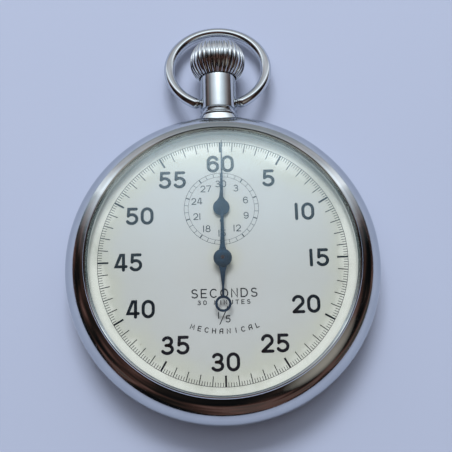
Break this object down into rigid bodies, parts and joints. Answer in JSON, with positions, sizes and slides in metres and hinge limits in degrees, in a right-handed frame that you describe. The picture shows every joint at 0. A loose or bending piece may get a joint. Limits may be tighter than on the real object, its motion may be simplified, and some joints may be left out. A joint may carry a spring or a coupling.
{
  "type": "mechanical stopwatch",
  "caption": "Round pocket stopwatch with a fluted push crown, hinged bow, sweep seconds hand, minute register and a full wound movement.",
  "frame": {"origin": "centre of the case back's flat resting face", "axes": "+Z along the hands' axis out through the crystal, +Y towards the crown and bow, +X towards 15 seconds"},
  "size_m": [0.05, 0.0689, 0.013],
  "materials": {
    "case_chrome": "mirror polished plating",
    "crystal": "clear polished",
    "dial_silver": "fine matt silvered lacquer",
    "blued_steel": "heat-blued, polished",
    "rhodium_plate": "fine grained plating",
    "wheel_brass": "fine circular grain",
    "polished_steel": "polished",
    "spring_steel": "tempered",
    "dial_ink": "printed enamel",
    "ruby": "polished"
  },
  "bodies": {
    "case": {"case_middle": "case_chrome", "case_back": "case_chrome", "bezel": "case_chrome", "crystal": "crystal", "pendant_tube": "case_chrome", "crown_spring": "spring_steel", "dial": "dial_silver", "main_plate": "rhodium_plate", "barrel_bridge": "rhodium_plate", "train_bridge": "rhodium_plate", "balance_cock": "rhodium_plate", "pallet_bridge": "rhodium_plate", "register_bridge": "rhodium_plate", "click_spring": "spring_steel", "hairspring": "spring_steel", "hairspring_stud": "polished_steel", "regulator": "polished_steel", "lever_studs": "polished_steel", "jewels": "ruby", "movement_screws": "polished_steel", "movement_clamps": "polished_steel"},
    "winding_pinion": {"winding_pinion": "polished_steel"},
    "crown": {"crown": "case_chrome", "winding_stem": "polished_steel"},
    "crown_wheel": {"crown_wheel": "polished_steel", "crown_face_wheel": "polished_steel", "crown_wheel_screw": "polished_steel"},
    "barrel_arbor": {"barrel_arbor": "polished_steel", "ratchet_wheel": "polished_steel", "ratchet_screw": "polished_steel"},
    "barrel": {"barrel_drum": "wheel_brass", "barrel_cover": "wheel_brass", "mainspring": "spring_steel"},
    "centre_wheel": {"centre_wheel": "wheel_brass", "centre_pinion": "polished_steel"},
    "third_wheel": {"third_wheel": "wheel_brass", "third_pinion": "polished_steel"},
    "sweep": {"seconds_hand": "blued_steel", "seconds_arbor": "polished_steel", "fourth_wheel": "wheel_brass", "seconds_heart": "polished_steel"},
    "register_wheel": {"intermediate_wheel": "wheel_brass", "intermediate_pinion": "polished_steel"},
    "minute": {"minute_hand": "blued_steel", "minute_arbor": "polished_steel", "minute_wheel": "wheel_brass", "minute_heart": "polished_steel"},
    "escape_wheel": {"escape_wheel": "polished_steel", "escape_pinion": "polished_steel"},
    "pallet_fork": {"pallet_fork": "polished_steel", "pallet_stones": "ruby", "pallet_staff": "polished_steel"},
    "balance": {"balance_wheel": "wheel_brass", "balance_staff": "polished_steel"},
    "click": {"click": "polished_steel"},
    "reset_hammer": {"reset_hammer": "polished_steel"},
    "brake_lever": {"brake_lever": "polished_steel"},
    "operating_lever": {"operating_lever": "polished_steel"},
    "column_wheel": {"column_wheel": "polished_steel"},
    "bow": {"bow": "case_chrome"}
  },
  "joints": [
    {"name": "sweep_spin", "type": "hinge", "parent": "case", "child": "sweep", "pos_m": [0, 0, 0], "axis": [0, 0, 1], "continuous": true},
    {"name": "third_spin", "type": "hinge", "parent": "case", "child": "third_wheel", "pos_m": [0.00245, -0.00356, 0], "axis": [0, 0, 1], "continuous": true},
    {"name": "centre_spin", "type": "hinge", "parent": "case", "child": "centre_wheel", "pos_m": [0.005, 0.00036, 0], "axis": [0, 0, 1], "continuous": true},
    {"name": "barrel_spin", "type": "hinge", "parent": "case", "child": "barrel", "pos_m": [0.0085, 0.008, 0], "axis": [0, 0, 1], "continuous": true},
    {"name": "escape_spin", "type": "hinge", "parent": "case", "child": "escape_wheel", "pos_m": [-0.00394, -0.00034, 0], "axis": [0, 0, 1], "continuous": true},
    {"name": "register_spin", "type": "hinge", "parent": "case", "child": "register_wheel", "pos_m": [0.00131, 0.00399, 0], "axis": [0, 0, 1], "continuous": true},
    {"name": "minute_spin", "type": "hinge", "parent": "case", "child": "minute", "pos_m": [0, 0.00835, 0], "axis": [0, 0, 1], "continuous": true},
    {"name": "crown_turn", "type": "hinge", "parent": "case", "child": "winding_pinion", "pos_m": [0, 0.016, 0.006], "axis": [0, 1, 0], "continuous": true},
    {"name": "crown_push", "type": "slide", "parent": "winding_pinion", "child": "crown", "axis": [0, -1, 0], "range_m": [0, 0.0012], "stiffness_N_per_m": 600, "springref_m": -0.0012, "deforming": ["crown_spring"]},
    {"name": "crown_wheel_spin", "type": "hinge", "parent": "case", "child": "crown_wheel", "pos_m": [0, 0.0137, 0], "axis": [0, 0, 1], "continuous": true},
    {"name": "ratchet_spin", "type": "hinge", "parent": "case", "child": "barrel_arbor", "pos_m": [0.0085, 0.008, 0], "axis": [0, 0, 1], "continuous": true},
    {"name": "operating_lever_swing", "type": "hinge", "parent": "case", "child": "operating_lever", "pos_m": [-0.0135, 0.007, 0], "axis": [0, 0, 1], "range_deg": [-5.5, 0.5]},
    {"name": "fork_rock", "type": "hinge", "parent": "case", "child": "pallet_fork", "pos_m": [-0.00567, -0.0028, 0], "axis": [0, 0, 1], "range_deg": [-4, 4]},
    {"name": "balance_swing", "type": "hinge", "parent": "case", "child": "balance", "pos_m": [-0.00779, -0.00583, 0], "axis": [0, 0, 1], "range_deg": [-150, 150]},
    {"name": "click_lift", "type": "hinge", "parent": "case", "child": "click", "pos_m": [0.00694, 0.01686, 0], "axis": [0, 0, 1], "range_deg": [0, 9], "deforming": ["click_spring"]},
    {"name": "hammer_swing", "type": "hinge", "parent": "case", "child": "reset_hammer", "pos_m": [-0.0065, 0.0098, 0], "axis": [0, 0, 1], "range_deg": [0, 4.6]},
    {"name": "brake_swing", "type": "hinge", "parent": "case", "child": "brake_lever", "pos_m": [-0.0142, 0.0082, 0], "axis": [0, 0, 1], "range_deg": [-3, 0.4]},
    {"name": "column_spin", "type": "hinge", "parent": "case", "child": "column_wheel", "pos_m": [-0.0095, 0.0122, 0], "axis": [0, 0, 1], "continuous": true},
    {"name": "bow_swing", "type": "hinge", "parent": "case", "child": "bow", "pos_m": [0, 0.0279, 0.006], "axis": [1, 0, 0], "range_deg": [-105, 135]}
  ],
  "couplings": [
    {"joint": "third_spin", "follows": "sweep_spin", "ratio": -0.125},
    {"joint": "centre_spin", "follows": "sweep_spin", "ratio": 0.015625},
    {"joint": "barrel_spin", "follows": "sweep_spin", "ratio": -0.0026042},
    {"joint": "escape_spin", "follows": "sweep_spin", "ratio": -10},
    {"joint": "register_spin", "follows": "sweep_spin", "ratio": -0.2},
    {"joint": "minute_spin", "follows": "sweep_spin", "ratio": 0.033333},
    {"joint": "crown_wheel_spin", "follows": "crown_turn", "ratio": 0.5},
    {"joint": "ratchet_spin", "follows": "crown_turn", "ratio": -0.23913},
    {"joint": "operating_lever_swing", "follows": "crown_push", "rad_per_m": -74.083}
  ]
}
